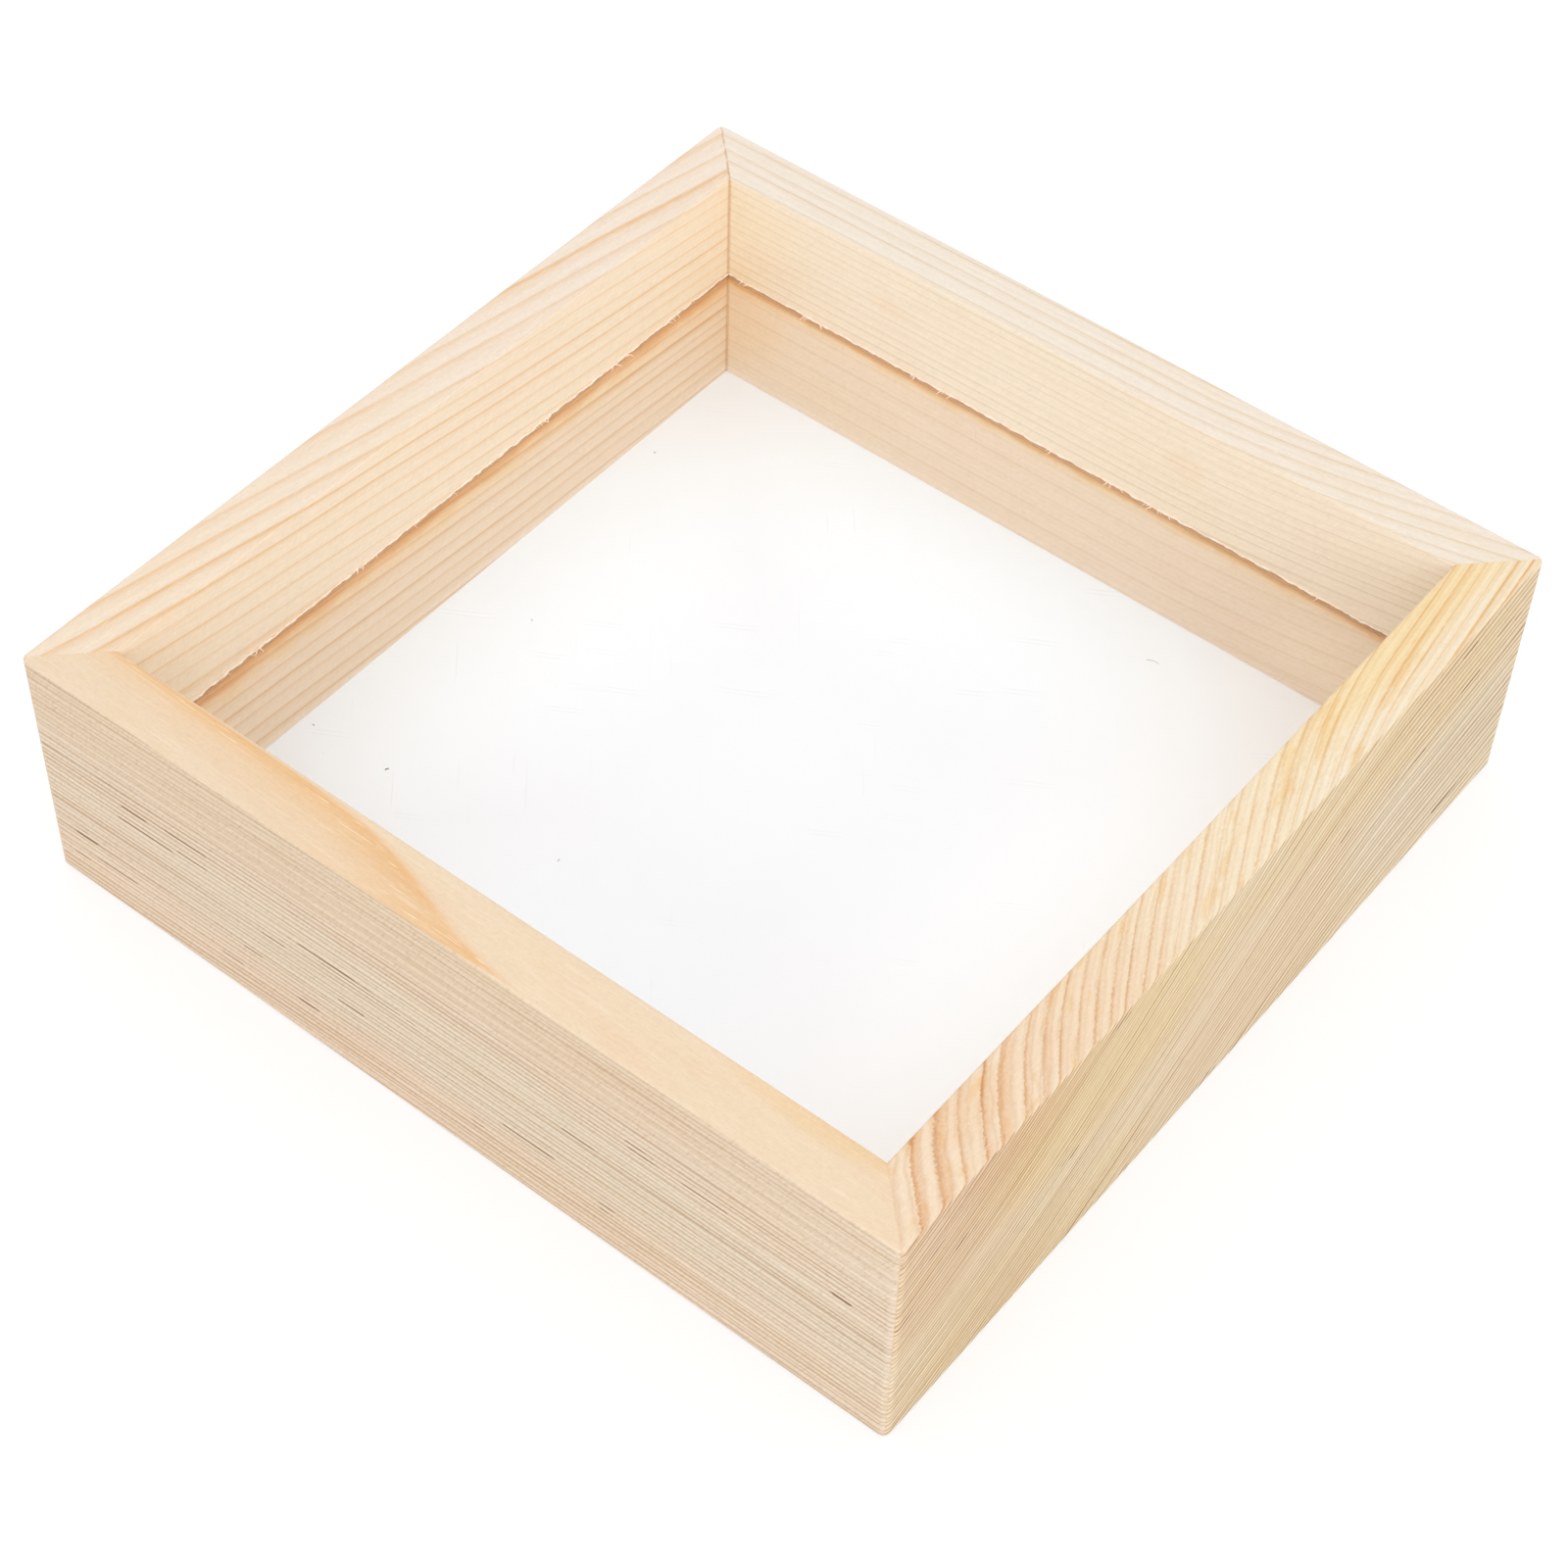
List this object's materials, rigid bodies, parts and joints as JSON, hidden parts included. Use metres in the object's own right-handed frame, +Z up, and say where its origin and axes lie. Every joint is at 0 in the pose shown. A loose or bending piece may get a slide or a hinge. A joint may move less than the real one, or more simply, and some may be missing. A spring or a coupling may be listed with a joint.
{
  "type": "butterfly display case",
  "caption": "Deep square pine frame with a clear pane set in at half depth, over a specimen chamber closed by a removable back panel.",
  "frame": {"origin": "centre of the base, on the plane that the case rests on when it lies on its back", "axes": "+Z up out of the open front, through the pane; -Y towards the front rail, +X towards the right rail"},
  "size_m": [0.2, 0.2, 0.0575],
  "materials": {
    "pine": "raw, sanded",
    "clear_pane": "clear, lightly scratched sheet",
    "hardboard": "pressed brown board, smooth",
    "white_card": "matt white",
    "plated_steel": "nickel plated",
    "screw_steel": "zinc plated",
    "nail_steel": "bare rolled steel"
  },
  "bodies": {
    "frame": {"front_rail": "pine", "right_rail": "pine", "back_rail": "pine", "left_rail": "pine", "clear_pane": "clear_pane", "front_pivot_screw": "screw_steel", "right_pivot_screw": "screw_steel", "back_pivot_screw": "screw_steel", "left_pivot_screw": "screw_steel", "front_left_corner_nail": "nail_steel", "front_right_corner_nail": "nail_steel", "back_right_corner_nail": "nail_steel", "back_left_corner_nail": "nail_steel"},
    "back_panel": {"back_board": "hardboard", "backing_card": "white_card"},
    "front_button": {"front_turn_button": "plated_steel"},
    "right_button": {"right_turn_button": "plated_steel"},
    "back_button": {"back_turn_button": "plated_steel"},
    "left_button": {"left_turn_button": "plated_steel"}
  },
  "joints": [
    {"name": "back_panel_lift", "type": "slide", "parent": "frame", "child": "back_panel", "axis": [0, 0, -1], "range_m": [0, 0.04]},
    {"name": "front_button_turn", "type": "hinge", "parent": "frame", "child": "front_button", "pos_m": [0, -0.0951, 0.0005], "axis": [0, 0, 1], "range_deg": [0, 90]},
    {"name": "right_button_turn", "type": "hinge", "parent": "frame", "child": "right_button", "pos_m": [0.0951, 0, 0.0005], "axis": [0, 0, 1], "range_deg": [0, 90]},
    {"name": "back_button_turn", "type": "hinge", "parent": "frame", "child": "back_button", "pos_m": [0, 0.0951, 0.0005], "axis": [0, 0, 1], "range_deg": [0, 90]},
    {"name": "left_button_turn", "type": "hinge", "parent": "frame", "child": "left_button", "pos_m": [-0.0951, 0, 0.0005], "axis": [0, 0, 1], "range_deg": [0, 90]}
  ]
}
